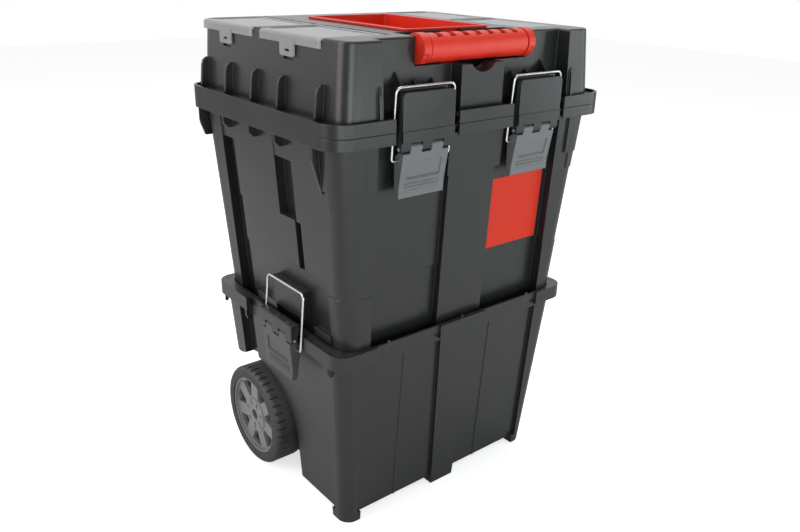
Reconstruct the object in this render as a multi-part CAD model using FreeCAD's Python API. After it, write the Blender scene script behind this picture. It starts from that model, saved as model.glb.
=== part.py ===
"""Wheeled jobsite storage box: a wheeled bin, a lift-off box, a hinged lid and its fittings.

Frame: millimetres, +Z up, front faces -Y, X = 0 on the centre plane, Z = 0 on the floor.
"""
import FreeCAD, Part
import math
import os

from FreeCAD import Vector

# ---------------------------------------------------------------- overall
WIDTH = 450.0
DEPTH = 350.0
HEIGHT = 653.0
TROLLEY_REACH = 20.0
WALL = 3.0
SEAT_GAP = 0.5
SIDE_FIT = 0.3
RUN_FIT = 0.05
CORNER_EASE = 1.0
BIG = 1000.0
HALF_W = WIDTH / 2
FRONT = -(DEPTH + TROLLEY_REACH) / 2
REAR = FRONT + DEPTH

# ---------------------------------------------------------------- heights
LID_RISE = 83.0
LID_RIM_H = 15.0
LID_GUTTER = 4.0
BOX_RIM_H = 14.0
BOX_CAP_H = 53.0
BIN_FLOOR_Z = 12.0
BIN_RIM_Z0 = 262.0
BIN_RIM_Z1 = 281.5
BOX_Z0 = 266.0
BOX_STEP_Z = 365.0
BOX_FOOT_Z = 352.0
LID_RIM_Z1 = HEIGHT - LID_RISE
GUTTER_Z = LID_RIM_Z1 - LID_GUTTER
SEAM_Z = LID_RIM_Z1 - LID_RIM_H
BOX_RIM_Z0 = SEAM_Z - BOX_RIM_H
BOX_CAP_Z = BOX_RIM_Z0 - BOX_CAP_H

# ---------------------------------------------------------------- bin
BIN_LOW = (0.0, HALF_W - 48.0, FRONT + 49.0, REAR - 25.0)
BIN_HIGH = (BIN_RIM_Z0, HALF_W - 28.0, FRONT + 31.0, REAR - 15.0)
BIN_RADIUS = 18.0
BIN_PANEL = 5.0
BIN_CHANNEL = 12.0
BIN_RIM_HALF = HALF_W - 18.6
BIN_RIM_FRONT = FRONT + 19.5
BIN_RIM_REAR = REAR - 7.0
BIN_LEDGE = 9.0
MOUTH_FIT = 1.5
RIM_DIP = 3.5
RIM_STEP_Y = 2.5
RIM_STEP_Z = 9.0
RIM_DIP_X0 = 42.0
RIM_DIP_X1 = HALF_W - 79.0
RIM_PEG_X = (-127.0, 0.0, 127.0)
RIM_PEG_W = 5.0
RIM_PEG_T = 2.5
RIM_PEG_H = 3.0
BIN_GUSSET_Z = 244.0
BIN_GUSSET_Y = (FRONT + 51.0, REAR - 90.0, REAR - 14.0)
BIN_NOTCH_Y1 = FRONT + 250.0
FOOT_X = HALF_W - 67.0
FOOT_Y = FRONT + 72.0
FOOT_PAD_Y = FRONT + 80.0
FOOT_PAD_Z = 14.0
PANEL_END_Y = REAR - 88.0
REAR_COLUMN_Y = REAR - 58.0
PILASTER_TOP = 31.0
PILASTER_LOW = 21.0
BIN_RIB_X = (68.0, 90.0)
BIN_RIB_W = 2.4

# ---------------------------------------------------------------- wheels
WHEEL_R = 77.0
WHEEL_W = 48.0
WHEEL_OUT = HALF_W - 25.0
WHEEL_Y = REAR - 85.0
TYRE_T = 17.0
HUB_R = WHEEL_R - TYRE_T
HUB_RIM_T = 3.5
HUB_BOWL = 6.0
HUB_WEB = 7.0
HUB_FACE = 4.5
HUB_BOSS_R = 27.0
HUB_CUP_R = 8.5
HUB_CUP_DEPTH = 12.0
HUB_SLOT = (16.5, 22.5, 2.4)
HUB_SPOKES = 7
SPOKE_W = 9.0
AXLE_R = 5.0
AXLE_INSET = 8.0
CAP_R = 6.5
ARCH_R = 98.0
ARCH_IN = HALF_W - 82.0
ARCH_TOP = 166.0
TREADS = 40
TREAD_W = 3.2
TREAD_D = 2.2
SHOULDER = 7.0
TUNNEL_HALF = 15.0
TUNNEL_TOP = 92.0
SADDLE_X = 70.0
SADDLE_W = 24.0

# ---------------------------------------------------------------- upper box
BOX_LOW = (BOX_Z0, HALF_W - 37.0, FRONT + 29.0, REAR - 19.0)
BOX_HIGH = (BOX_RIM_Z0, HALF_W - 16.0, FRONT + 15.0, REAR - 9.0)
BOX_RADIUS = 22.0
BAY = 11.5
SIDE_CHANNEL = 14.0
BOX_BASE = (-SIDE_CHANNEL, -BAY - 2.0, -4.0)
COLUMN_X = HALF_W - 72.0
COLUMN_Y = FRONT + 58.0
CENTRE_X = 40.0
CENTRE_DIP = 3.5
CAP_GROW = 3.0
CAP_TONGUE = 23.0
FOOT_GROW = 0.8
LEDGE_Z = (BIN_RIM_Z1 + 3.0, BIN_RIM_Z1 + 14.0)
LEDGE_Y = ((FRONT + 58.0, FRONT + 94.0), (FRONT + 187.0, FRONT + 238.0))
LEDGE_GROW = 3.0
RIM_RADIUS = 28.0
RIM_SKIN = 3.0
GUSSET_T = 4.0
GUSSET_IN = 30.0
GUSSETS = (
    (FRONT + 51.0, 57.0, 40.0, 5.0, 17.5),
    (FRONT + 131.0, 17.0, 6.0, 5.0, 11.0),
    (FRONT + 193.0, 17.0, 6.0, 5.0, 11.0),
    (REAR - 90.0, 17.0, 6.0, 5.0, 11.0),
    (REAR - 14.0, 41.0, 30.0, 4.0, 15.0),
)

# ---------------------------------------------------------------- latches
LATCH_X = HALF_W - 131.8
LATCH_Y = FRONT + 148.0
NOTCH_HALF = 47.8
NOTCH_X0 = LATCH_X - NOTCH_HALF
NOTCH_X1 = LATCH_X + NOTCH_HALF
NOTCH_Y = FRONT + 20.0
WIRE_R = 1.6
PIN_R = 2.0
KNUCKLE_R = 4.6
KNUCKLE_W = 14.0
KNUCKLE_FIT = 0.4
LEVER_W = 69.0
LEVER_H = 60.0
LEVER_T = 4.0
CHEEK_T = 4.0
CHEEK_DEEP = 10.0
CHEEK_HEAD = 4.0
CHEEK_TOE = 2.0
CHEEK_W = (-24.0, -12.0)
LEVER_NECK = KNUCKLE_R + 1.2
LEVER_FLARE = (2.0, 12.0)
RIDGE_COUNT = 4
RIDGE_PITCH = 4.2
RIDGE_H = 1.8
RIDGE_LOW = 2.5
RIDGE_INSET = 9.0
POCKET_DEEP = 1.2
POCKET_W = (-36.0, -16.0)
POCKET_LIP = (11.0, -36.5, -43.0)
BAIL_BEND = 7.0
BAIL_TAIL = 7.0
BAIL_V = -5.0
BAIL_W = -16.4
FRONT_PIN = (FRONT + 6.0, BOX_RIM_Z0 - 7.0)
SIDE_PIN = (HALF_W - 10.5, 275.0)
FRONT_TILT = 10.0
SIDE_TILT = 4.0
FRONT_BLOCK_W = 77.4
SIDE_BLOCK_W = 80.0
BAIL_OUT = 4.6
FRONT_BAR = (-1.2, 68.2)
SIDE_BAR = (-13.0, 63.0)
COVER_TOP_Z = SEAM_Z + 42.2
COVER_BAND = 1.4
COVER_FACE = 0.4
KEEPER_OUT = HALF_W - 25.4
KEEPER_Z = (300.0, 338.0)
LID_KEEPER_Z = SEAM_Z + 44.9
LID_KEEPER_Y = FRONT + 9.7

# ---------------------------------------------------------------- lid
LID_LOW = (SEAM_Z, HALF_W - 19.2, FRONT + 7.5, REAR - 3.0)
LID_HIGH = (HEIGHT, HALF_W - 27.0, FRONT + 12.0, REAR - 3.0)
LID_RADIUS = 20.0
LID_EDGE_R = 3.0
LID_CENTRE_X = HALF_W - 72.7
LID_CENTRE_Y = FRONT + 31.0
PILASTER_HALF = 35.0
HINGE_Y = REAR + 6.0
HINGE_Z = SEAM_Z + 3.0
HINGE_R = 5.0
HINGE_X1 = HALF_W - 30.0
HINGE_X0 = HINGE_X1 - 60.0
HINGE_COUNT = 5
HINGE_FIT = 0.3
WELL_X0 = HALF_W - 103.0
WELL_END = 4.0
WELL_WEB = 2.0
WELL_Z0 = HEIGHT - 53.0
COVER_X = WELL_X0 - 10.0
COVER_Z = HEIGHT - 4.0
COVER_T = 3.0
COVER_R = 3.0
COVER_PIN_R = 1.5
COVER_SLOT = 5.5
COVER_PIN_END = 3.0
COVER_FIT = 0.6
COVER_SPANS = ((FRONT + 58.0, FRONT + 192.0), (FRONT + 207.0, REAR - 9.0))
COVER_LIP = 11.5
COVER_OUT = LID_HIGH[1] + 3.4
COVER_BORDER = 7.0
COVER_BEND = 4.0
COVER_DISH = 0.9
TAB_HALF = 15.0
TAB_DROP = 14.0
TAB_WINDOW = 11.0
ORGANISER_HANG = 8.0
ORGANISER_EAR = 4.0
TRAY_X = WELL_X0 - 56.0
TRAY_Y0 = FRONT + 78.0
TRAY_Y1 = REAR - 62.0
TRAY_Z0 = HEIGHT - 55.0
TRAY_LIP = 4.0
TRAY_GAP = 1.0
HANDLE_X = TRAY_X + 25.0
HANDLE_Y = FRONT + 32.0
HANDLE_Z = HEIGHT - 14.0
HANDLE_R = 16.5
HANDLE_CAP_R = 17.5
HANDLE_WALL = 4.0
HANDLE_SLOTS = 7
HANDLE_PITCH = 20.5
HANDLE_SLOT_W = 9.0
HANDLE_SLOT_Y = 10.5
HANDLE_SLOT_Z = 8.0
HANDLE_PIVOT = (FRONT + 62.0, HEIGHT - 23.0)
HANDLE_ARM_T = 11.0
HANDLE_GROOVE = 2.0
HANDLE_LUG_R = 9.0
RECESS_Y1 = FRONT + 73.0
RECESS_Z0 = HEIGHT - 47.0
CUTOUT_Z = HEIGHT - 33.0
SCOOP_R = 24.0
RIB_T = 4.0
RIB_H = 40.0
RIB_TIP = HALF_W - 12.5
RIB_FOOT = HALF_W - 9.5
KEEPER_LIP_Y = 4.8
KEEPER_LIP_Z = 6.0
FIN_T = 2.5
FIN_SLOPE = 14.0
FINS = ((-27.0, 46.0), (0.0, 36.0), (27.0, 36.0))

# ---------------------------------------------------------------- trolley handle
TUBE_X = HALF_W - 115.0
TUBE_Y = REAR + 9.6
TUBE_R = 8.0
TUBE_T = 1.3
TUBE_Z0 = 96.0
TUBE_Z1 = BOX_RIM_Z0 - 21.0
INNER_R = 6.4
INNER_Z0 = 130.0
GRIP_Z0 = BOX_RIM_Z0 - 17.0
GRIP_Z1 = BOX_RIM_Z0 + 10.0
GRIP_HALF = TUBE_X + 16.0
GRIP_R = 8.6
GRIP_SOCKET = 12.0
BRACKETS = ((104.0, 132.0), (222.0, 250.0))
BRACKET_HALF = TUBE_X + 18.0
SCREW_R = 2.0
SCREW_HEAD_R = 4.2
SCREW_HEAD_T = 2.2
SCREW_X = TUBE_X - 24.0


# ---------------------------------------------------------------- helpers
def box(x0, x1, y0, y1, z0, z1):
    """Return an axis-aligned block between the given limits."""
    return Part.makeBox(x1 - x0, y1 - y0, z1 - z0, Vector(x0, y0, z0))


def rod(radius, start, axis, length):
    """Return a cylinder from a start point along an axis."""
    return Part.makeCylinder(radius, length, Vector(*start), Vector(*axis))


def fused(shapes):
    """Fuse a list of solids into one shape."""
    first, rest = shapes[0], shapes[1:]
    return first.fuse(rest).removeSplitter() if rest else first


def both(shape):
    """Return a shape and its mirror image across X = 0."""
    return [shape, mirrored(shape)]


def mirrored(shape):
    """Mirror a shape across X = 0."""
    return shape.mirror(Vector(0, 0, 0), Vector(1, 0, 0))


def prism(points, push):
    """Extrude a closed polygon of 3-D points along a push vector."""
    wire = Part.makePolygon([Vector(*p) for p in points + [points[0]]])
    return Part.Face(wire).extrude(Vector(*push))


def rounded(shape, radius, pick):
    """Fillet the edges a pick function accepts, by their two end points."""
    edges = [e for e in shape.Edges if len(e.Vertexes) == 2 and pick(*(v.Point for v in e.Vertexes))]
    return shape.makeFillet(radius, edges) if edges else shape


def upright(a, b):
    """Tell whether an edge runs mostly along Z."""
    return abs(a.z - b.z) > 2 * max(abs(a.x - b.x), abs(a.y - b.y))


def along_x(a, b):
    """Tell whether an edge runs along X."""
    return abs(a.x - b.x) > 2 * max(abs(a.z - b.z), abs(a.y - b.y))


def hull_plate(circles, x0, thick):
    """Return a plate across X whose outline wraps circles given as (y, z, radius)."""
    (y0, z0, r0), (y1, z1, r1) = circles
    length = math.hypot(y1 - y0, z1 - z0)
    base = math.atan2(z1 - z0, y1 - y0)
    lean = math.acos((r0 - r1) / length)
    corners = []
    for y, z, r, side in ((y0, z0, r0, 1), (y1, z1, r1, 1), (y1, z1, r1, -1), (y0, z0, r0, -1)):
        angle = base + side * lean
        corners.append((x0, y + r * math.cos(angle), z + r * math.sin(angle)))
    discs = [rod(r, (x0, y, z), (1, 0, 0), thick) for y, z, r in circles]
    return fused([prism(corners, (thick, 0, 0))] + discs)


def frustum(low, high, radius):
    """Return a tapered block with filleted upright edges, from (z, half width, front, rear) pairs."""
    rings = []
    for z, half, front, rear in (low, high):
        ring_points = [Vector(-half, front, z), Vector(half, front, z), Vector(half, rear, z),
                       Vector(-half, rear, z)]
        rings.append(Part.makePolygon(ring_points + [ring_points[0]]))
    return rounded(Part.makeLoft(rings, True, True), radius, upright)


class Envelope:
    """A tapered outline that panels, columns and hollows are measured from."""

    def __init__(self, low, high, radius):
        self.low, self.high, self.radius = low, high, radius

    def at(self, z, grow):
        """Return (z, half width, front, rear) at a height, grown by (side, front, rear)."""
        part = (z - self.low[0]) / (self.high[0] - self.low[0])
        half, front, rear = (a + (b - a) * part for a, b in zip(self.low[1:], self.high[1:]))
        return (z, half + grow[0], front - grow[1], rear + grow[2])

    def solid(self, z0, z1, grow):
        """Return the grown outline between two heights."""
        return frustum(self.at(z0, grow), self.at(z1, grow), max(self.radius + min(grow[:2]), WALL))

    def hole(self, z0, z1, grow):
        """Return the grown outline with tighter corners, for a part that fits round it."""
        radius = max(self.radius + min(grow[:2]), WALL) - CORNER_EASE
        return frustum(self.at(z0, grow), self.at(z1, grow), radius)

    def patch(self, limits, z0, z1, grow):
        """Return the part of the grown outline inside x and y limits."""
        x0, x1, y0, y1 = limits
        return self.solid(z0, z1, grow).common(box(x0, x1, y0, y1, z0, z1))


def shrink(value):
    """Grow a (side, front, rear) triple inwards by one wall."""
    return tuple(v - WALL for v in value)


def moulded(env, base, patches):
    """Return the outer and inner forms of a moulded tub.

    base is (z0, z1, grow); each patch is (limits, z0, z1, grow, hollow).
    """
    z0, z1, grow = base
    outer = [env.solid(z0, z1, grow)]
    inner = [env.solid(z0 + WALL, z1 + WALL, shrink(grow))]
    for limits, low, high, plane, hollow in patches:
        outer.append(env.patch(limits, low, high, plane))
        if hollow:
            x0, x1, y0, y1 = limits
            tight = (x0 + WALL, x1 - WALL, y0 + WALL, y1 - WALL)
            inner.append(env.patch(tight, max(low, z0) + WALL, high - WALL, shrink(plane)))
    return fused(outer), fused(inner)


def sides(limits):
    """Return a set of x, y limits and its mirror image across X = 0."""
    x0, x1, y0, y1 = limits
    return [limits, (-x1, -x0, y0, y1)]


def ring(half, front, rear, radius, z0, z1):
    """Return a rounded slab between two heights."""
    return frustum((z0, half, front, rear), (z1, half, front, rear), radius)


# ---------------------------------------------------------------- bin
BIN = Envelope(BIN_LOW, BIN_HIGH, BIN_RADIUS)
BOX = Envelope(BOX_LOW, BOX_HIGH, BOX_RADIUS)
LID = Envelope(LID_LOW, LID_HIGH, LID_RADIUS)


def arch_void(extra):
    """Return the wheel housings and the axle tunnel, swollen by extra on every side."""
    reach = BIG - ARCH_IN
    wheel = rod(ARCH_R + extra, (ARCH_IN - extra, WHEEL_Y, WHEEL_R), (1, 0, 0), reach)
    below = box(ARCH_IN - extra, BIG, WHEEL_Y - ARCH_R - extra, BIG, -WHEEL_R, WHEEL_R)
    behind = box(ARCH_IN - extra, BIG, WHEEL_Y, BIG, 0, ARCH_TOP + extra)
    tunnel = box(-BIG, BIG, WHEEL_Y - TUNNEL_HALF - extra, WHEEL_Y + TUNNEL_HALF + extra, -WHEEL_R,
                 TUNNEL_TOP + extra)
    return fused(both(fused([wheel, below, behind])) + [tunnel])


def side_notch():
    """Return the gaps in the bin rim where the side latches stand."""
    half = SIDE_BLOCK_W / 2 + 2 * BAIL_OUT + WIRE_R
    inner = BIN.at(BIN_RIM_Z0, (0, 0, 0))[1] + 1
    return both(box(inner, BIG, LATCH_Y - half, BIN_NOTCH_Y1, BIN_GUSSET_Z, BIN_RIM_Z1 + WALL))


def bin_patches():
    """List the raised columns, panels and ribs of the bin."""
    flush = (0, 0, 0)
    patches = [(lim, 0, BIN_RIM_Z0, flush, True) for lim in sides((FOOT_X, BIG, -BIG, FOOT_Y))]
    for lim in sides((FOOT_X - 2 * WALL, BIG, -BIG, FOOT_PAD_Y)):
        patches.append((lim, 0, FOOT_PAD_Z, flush, False))
    for lim in sides((FOOT_X, BIG, FOOT_Y, PANEL_END_Y)):
        patches.append((lim, BIN_FLOOR_Z, BIN_RIM_Z0, (-BIN_PANEL, 0, 0), True))
    for lim in sides((FOOT_X, BIG, REAR_COLUMN_Y, BIG)):
        patches.append((lim, BIN_FLOOR_Z, BIN_RIM_Z0, flush, True))
    for x in (BIN_RIB_X[0], -BIN_RIB_X[1]):
        lim = (x - BIN_RIB_W / 2, x + BIN_RIB_W / 2, -BIG, FOOT_Y)
        patches.append((lim, BIN_FLOOR_Z, BIN_RIM_Z0, (0, 1 - BIN_PANEL, 0), False))
    return patches


def bin_pilaster():
    """Return the tapered pilaster in the middle of the bin front."""
    front = BIN.solid(0, BIN_RIM_Z0, (0, 0, 0))
    outline = [(-PILASTER_LOW, 0, 0), (PILASTER_LOW, 0, 0), (PILASTER_TOP, 0, BIN_RIM_Z0),
               (-PILASTER_TOP, 0, BIN_RIM_Z0)]
    shape = prism([(x, FRONT, z) for x, _, z in outline], (0, FOOT_Y - FRONT, 0))
    return shape.common(front)


def bin_gussets():
    """Return the gussets under the bin's rim band."""
    inset = WALL + SIDE_FIT
    half = BIN_RIM_HALF - inset
    clip = ring(half, BIN_RIM_FRONT + inset, BIN_RIM_REAR - inset, BIN_RADIUS, 0, BIN_RIM_Z1 - WALL)
    ribs = []
    for y in BIN_GUSSET_Y:
        x0, y0 = BIN.at(BIN_GUSSET_Z, (-WALL, 0, 0))[1], y - GUSSET_T / 2
        low, high = BIN_GUSSET_Z, BIN_RIM_Z1 - WALL
        pts = [(x0, y0, low), (half - WALL, y0, low), (half, y0, low + 2 * WALL), (half, y0, high),
               (x0, y0, high)]
        ribs += both(prism(pts, (0, GUSSET_T, 0)).common(clip))
    return ribs


def bin_mouth():
    """Return the room that the foot of the upper box takes in the bin's rim."""
    return BOX.solid(BOX_Z0 - SEAT_GAP, BIN_RIM_Z1 + RIM_PEG_H + 1, (MOUTH_FIT, MOUTH_FIT, MOUTH_FIT))


def bin_rim():
    """Return the bin's rim band, open underneath at the sides and rear, with the pegs on its front."""
    half, front, rear = BIN_RIM_HALF, BIN_RIM_FRONT, BIN_RIM_REAR
    band = ring(half, front, rear, BIN_RADIUS + WALL, BIN_RIM_Z0, BIN_RIM_Z1)
    under = ring(half - WALL, BIN_HIGH[2], rear - WALL, BIN_RADIUS, BIN_RIM_Z0 - 1, BIN_RIM_Z1 - WALL)
    cuts = [under, BIN.hole(BIN_RIM_Z0 - 1, BIN_RIM_Z1 + 1, (0, 0, 0)), bin_mouth()] + side_notch()
    dip, step = front + RIM_DIP, front + RIM_DIP + RIM_STEP_Y
    cuts += both(box(RIM_DIP_X0, RIM_DIP_X1, front - 1, dip, BIN_RIM_Z0 - 1, BIN_RIM_Z1 + 1))
    cuts += both(box(RIM_DIP_X0, RIM_DIP_X1, front - 1, step, BIN_RIM_Z0 - 1, BIN_RIM_Z0 + RIM_STEP_Z))
    pegs = []
    for x in RIM_PEG_X:
        x0, x1 = x - RIM_PEG_W / 2, x + RIM_PEG_W / 2
        pegs.append(box(x0, x1, dip, dip + RIM_PEG_T, BIN_RIM_Z1 - WALL, BIN_RIM_Z1 + RIM_PEG_H))
    return band.fuse(pegs).cut(cuts)


def bin_tub():
    """Return the moulded bin in one, before it is parted behind its front columns."""
    base = (BIN_FLOOR_Z, BIN_RIM_Z0, (-BIN_CHANNEL, -BIN_PANEL, -WALL))
    outer, inner = moulded(BIN, base, bin_patches())
    outer = fused([outer, bin_pilaster()]).cut(arch_void(0))
    inner = inner.cut(arch_void(WALL))
    seat = BOX.at(BOX_Z0, (1, 1, 1))
    wall = BIN.solid(BIN_RIM_Z0 - BIN_LEDGE, BIN_RIM_Z1, (0, 0, 0))
    throat = ring(seat[1] - BIN_LEDGE, seat[2] + BIN_LEDGE + BIN_PANEL, seat[3] - BIN_LEDGE, BIN_RADIUS,
                  BIN_RIM_Z0 - 2 * BIN_LEDGE, BOX_Z0)
    hollow = inner.common(box(-BIG, BIG, -BIG, BIG, 0, BIN_RIM_Z0 - BIN_LEDGE))
    body = outer.fuse([wall] + bin_gussets())
    return body.cut([hollow, throat, bin_mouth()] + side_notch())


def parted(shape, y):
    """Return the parts of a shape before and behind a plane across Y."""
    front = box(-BIG, BIG, -BIG, y, -BIG, BIG)
    return shape.common(front), shape.cut(front)


# ---------------------------------------------------------------- wheels
def tyre(side):
    """Return one treaded tyre; side is -1 for left and 1 for right."""
    outer, inner = WHEEL_OUT, WHEEL_OUT - WHEEL_W
    body = rod(WHEEL_R, (inner, WHEEL_Y, WHEEL_R), (1, 0, 0), WHEEL_W)
    body = body.makeFillet(SHOULDER, [e for e in body.Edges if len(e.Vertexes) == 1])
    body = body.cut(rod(HUB_R + RUN_FIT, (inner - 1, WHEEL_Y, WHEEL_R), (1, 0, 0), WHEEL_W + 2))
    cuts = []
    for k in range(TREADS):
        for x0, shift in ((outer - WHEEL_W / 3, 0), (inner - 1, 0.5)):
            block = box(x0, x0 + WHEEL_W / 3 + 1, -TREAD_W / 2, TREAD_W / 2, WHEEL_R - TREAD_D, WHEEL_R + 5)
            block.rotate(Vector(0, 0, 0), Vector(1, 0, 0), 360.0 * (k + shift) / TREADS)
            block.translate(Vector(0, WHEEL_Y, WHEEL_R))
            cuts.append(block)
    body = body.cut(Part.makeCompound(cuts))
    return body if side > 0 else mirrored(body)


def hub_windows():
    """Return the triangular windows between the spokes and the slots round the boss."""
    cuts = []
    half = math.pi / HUB_SPOKES
    near, far = HUB_BOSS_R + 3, HUB_R - 7
    near_a = 0.4 * (half - SPOKE_W / 2 / near)
    far_a = half - SPOKE_W / 2 / far - 0.1
    slot_in, slot_out, slot_r = HUB_SLOT
    for k in range(HUB_SPOKES):
        mid = 2 * math.pi * (k + 0.5) / HUB_SPOKES
        pts = []
        for r, a in ((near, -near_a), (far, -far_a), (far + 2, 0), (far, far_a), (near, near_a)):
            pts.append((WHEEL_OUT - WHEEL_W, WHEEL_Y + r * math.sin(mid + a),
                        WHEEL_R + r * math.cos(mid + a)))
        cuts.append(prism(pts, (WHEEL_W + 1, 0, 0)))
        ends = [(0, slot_in, slot_r), (0, slot_out, slot_r - RUN_FIT)]
        slot = hull_plate(ends, WHEEL_OUT - HUB_BOWL, HUB_BOWL + 1)
        slot.rotate(Vector(0, 0, 0), Vector(1, 0, 0), -math.degrees(mid))
        slot.translate(Vector(0, WHEEL_Y, WHEEL_R))
        cuts.append(slot)
    return cuts


def hub(side):
    """Return one spoked hub; side is -1 for left and 1 for right."""
    inner = WHEEL_OUT - WHEEL_W
    well = HUB_R - HUB_RIM_T
    rim = rod(HUB_R, (inner + 1, WHEEL_Y, WHEEL_R), (1, 0, 0), WHEEL_W - 3)
    bore = rod(well, (WHEEL_OUT - HUB_BOWL, WHEEL_Y, WHEEL_R), (1, 0, 0), HUB_BOWL)
    back = rod(well, (inner, WHEEL_Y, WHEEL_R), (1, 0, 0), WHEEL_W - HUB_BOWL - HUB_WEB)
    boss = rod(HUB_BOSS_R, (inner + 1, WHEEL_Y, WHEEL_R), (1, 0, 0), WHEEL_W - HUB_FACE - 1)
    body = rim.cut([bore, back]).fuse(boss)
    cup = rod(HUB_CUP_R, (WHEEL_OUT - HUB_CUP_DEPTH, WHEEL_Y, WHEEL_R), (1, 0, 0), HUB_CUP_DEPTH)
    shaft = rod(AXLE_R + RUN_FIT, (inner, WHEEL_Y, WHEEL_R), (1, 0, 0), WHEEL_W)
    body = body.cut(hub_windows() + [cup, shaft])
    return body if side > 0 else mirrored(body)


def axle():
    """Return the steel axle through both wheels."""
    length = 2 * (WHEEL_OUT - AXLE_INSET)
    return rod(AXLE_R, (-length / 2, WHEEL_Y, WHEEL_R), (1, 0, 0), length)


def axle_caps():
    """Return the push caps that hold the wheels on."""
    start = WHEEL_OUT - HUB_CUP_DEPTH + SEAT_GAP
    depth = WHEEL_OUT - AXLE_INSET - start
    cap = rod(CAP_R, (start, WHEEL_Y, WHEEL_R), (1, 0, 0), depth + 1)
    cap = cap.cut(rod(AXLE_R + RUN_FIT, (start, WHEEL_Y, WHEEL_R), (1, 0, 0), depth))
    return Part.makeCompound(both(cap))


def saddles():
    """Return the blocks that carry the axle inside the tunnel."""
    block = box(SADDLE_X, SADDLE_X + SADDLE_W, WHEEL_Y - TUNNEL_HALF, WHEEL_Y + TUNNEL_HALF,
                WHEEL_R - TUNNEL_HALF, TUNNEL_TOP)
    block = block.cut(rod(AXLE_R + RUN_FIT, (SADDLE_X - 1, WHEEL_Y, WHEEL_R), (1, 0, 0), SADDLE_W + 2))
    spacer_x = ARCH_IN + 1
    spacer = rod(AXLE_R + 5, (spacer_x, WHEEL_Y, WHEEL_R), (1, 0, 0), WHEEL_OUT - WHEEL_W - spacer_x)
    spacer = spacer.cut(rod(AXLE_R + RUN_FIT, (spacer_x - 1, WHEEL_Y, WHEEL_R), (1, 0, 0), WHEEL_W))
    return Part.makeCompound(both(block)), Part.makeCompound(both(spacer))


# ---------------------------------------------------------------- upper box
def box_patches():
    """List the raised columns, panels and steps of the upper box."""
    top = BOX_RIM_Z0
    window = FRONT + 158.0
    groove = FRONT + 126.0
    front_part = FRONT + 120.0
    narrow = FRONT + 112.0
    window_z0, window_z1 = BOX_STEP_Z + 65.0, BOX_RIM_Z0 - 34.0
    flush = (0, 0, 0)
    out = []
    for lim in sides((COLUMN_X, BIG, -BIG, COLUMN_Y)):
        out.append((lim, BOX_Z0, top, flush, True))
        out.append((lim, BOX_Z0, BOX_FOOT_Z, (FOOT_GROW, FOOT_GROW, 0), False))
    for lim in sides((COLUMN_X + 18, BIG, -BIG, COLUMN_Y - 8)):
        out.append((lim, BOX_CAP_Z, top, (CAP_GROW, CAP_GROW, 0), False))
    for lim in sides((COLUMN_X + 27, BIG, -BIG, COLUMN_Y - 18)):
        out.append((lim, BOX_CAP_Z - CAP_TONGUE, BOX_CAP_Z, (CAP_GROW / 2, CAP_GROW / 2, 0), False))
    for y0, y1 in LEDGE_Y:
        for lim in sides((COLUMN_X, BIG, y0, y1)):
            out.append((lim, *LEDGE_Z, (LEDGE_GROW, 0, 0), False))
    out.append(((-CENTRE_X, CENTRE_X, -BIG, COLUMN_Y), BOX_Z0, BOX_CAP_Z, (0, -CENTRE_DIP, 0), True))
    out.append(((-NOTCH_X0, NOTCH_X0, -BIG, COLUMN_Y), BOX_CAP_Z, top, flush, True))
    out.append(((-COLUMN_X - 1, COLUMN_X + 1, -BIG, COLUMN_Y), BOX_STEP_Z, top, (0, -BAY, 0), False))
    side_panels = (
        (COLUMN_Y, front_part, window_z0, top, -2.0),
        (COLUMN_Y, narrow, BOX_STEP_Z, window_z0, -2.5),
        (COLUMN_Y, PANEL_END_Y, BOX_Z0, BOX_STEP_Z, -5.0),
        (groove, PANEL_END_Y, BOX_STEP_Z, window_z0, -3.0),
        (window, PANEL_END_Y, window_z0, top, -1.0),
        (COLUMN_Y, REAR_COLUMN_Y, window_z1, top, -2.0),
    )
    for y0, y1, z0, z1, plane in side_panels:
        for lim in sides((COLUMN_X, BIG, y0, y1)):
            out.append((lim, z0, z1, (plane, 0, 0), True))
    for lim in sides((COLUMN_X, BIG, REAR_COLUMN_Y, BIG)):
        out.append((lim, BOX_Z0, top, flush, True))
    return out


def notch(z0, z1, depth):
    """Return the gaps in a rim band where the front latches stand."""
    return both(box(NOTCH_X0, NOTCH_X1, -BIG, depth, z0, z1))


def box_rim():
    """Return the rim band of the upper box, open underneath, fitted round its neck."""
    band = ring(HALF_W, FRONT, REAR, RIM_RADIUS, BOX_RIM_Z0, SEAM_Z - SEAT_GAP)
    under = ring(HALF_W - RIM_SKIN, FRONT + RIM_SKIN, REAR - RIM_SKIN, RIM_RADIUS - RIM_SKIN, BOX_RIM_Z0,
                 SEAM_Z - RIM_SKIN)
    neck = BOX.hole(BOX_RIM_Z0, SEAM_Z, BOX_BASE)
    return band.cut([under, neck] + notch(BOX_RIM_Z0 - 1, SEAM_Z + 1, NOTCH_Y))


def box_gussets():
    """Return the gussets under the rim band, from the (y, drop, rise, outer, lower inset) list."""
    inset = RIM_SKIN + SIDE_FIT
    clip = ring(HALF_W - inset, FRONT + inset, REAR - inset, RIM_RADIUS - inset, BOX_Z0, SEAM_Z - RIM_SKIN)
    ribs = []
    for y, drop, rise, out, low_in in GUSSETS:
        y0, low = y - GUSSET_T / 2, BOX_RIM_Z0 - drop
        pts = [(HALF_W - GUSSET_IN, y0, low), (HALF_W - low_in, y0, low), (HALF_W - out, y0, low + rise),
               (HALF_W - out, y0, SEAM_Z), (HALF_W - GUSSET_IN, y0, SEAM_Z)]
        ribs += both(prism(pts, (0, GUSSET_T, 0)).common(clip))
    return ribs


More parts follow.
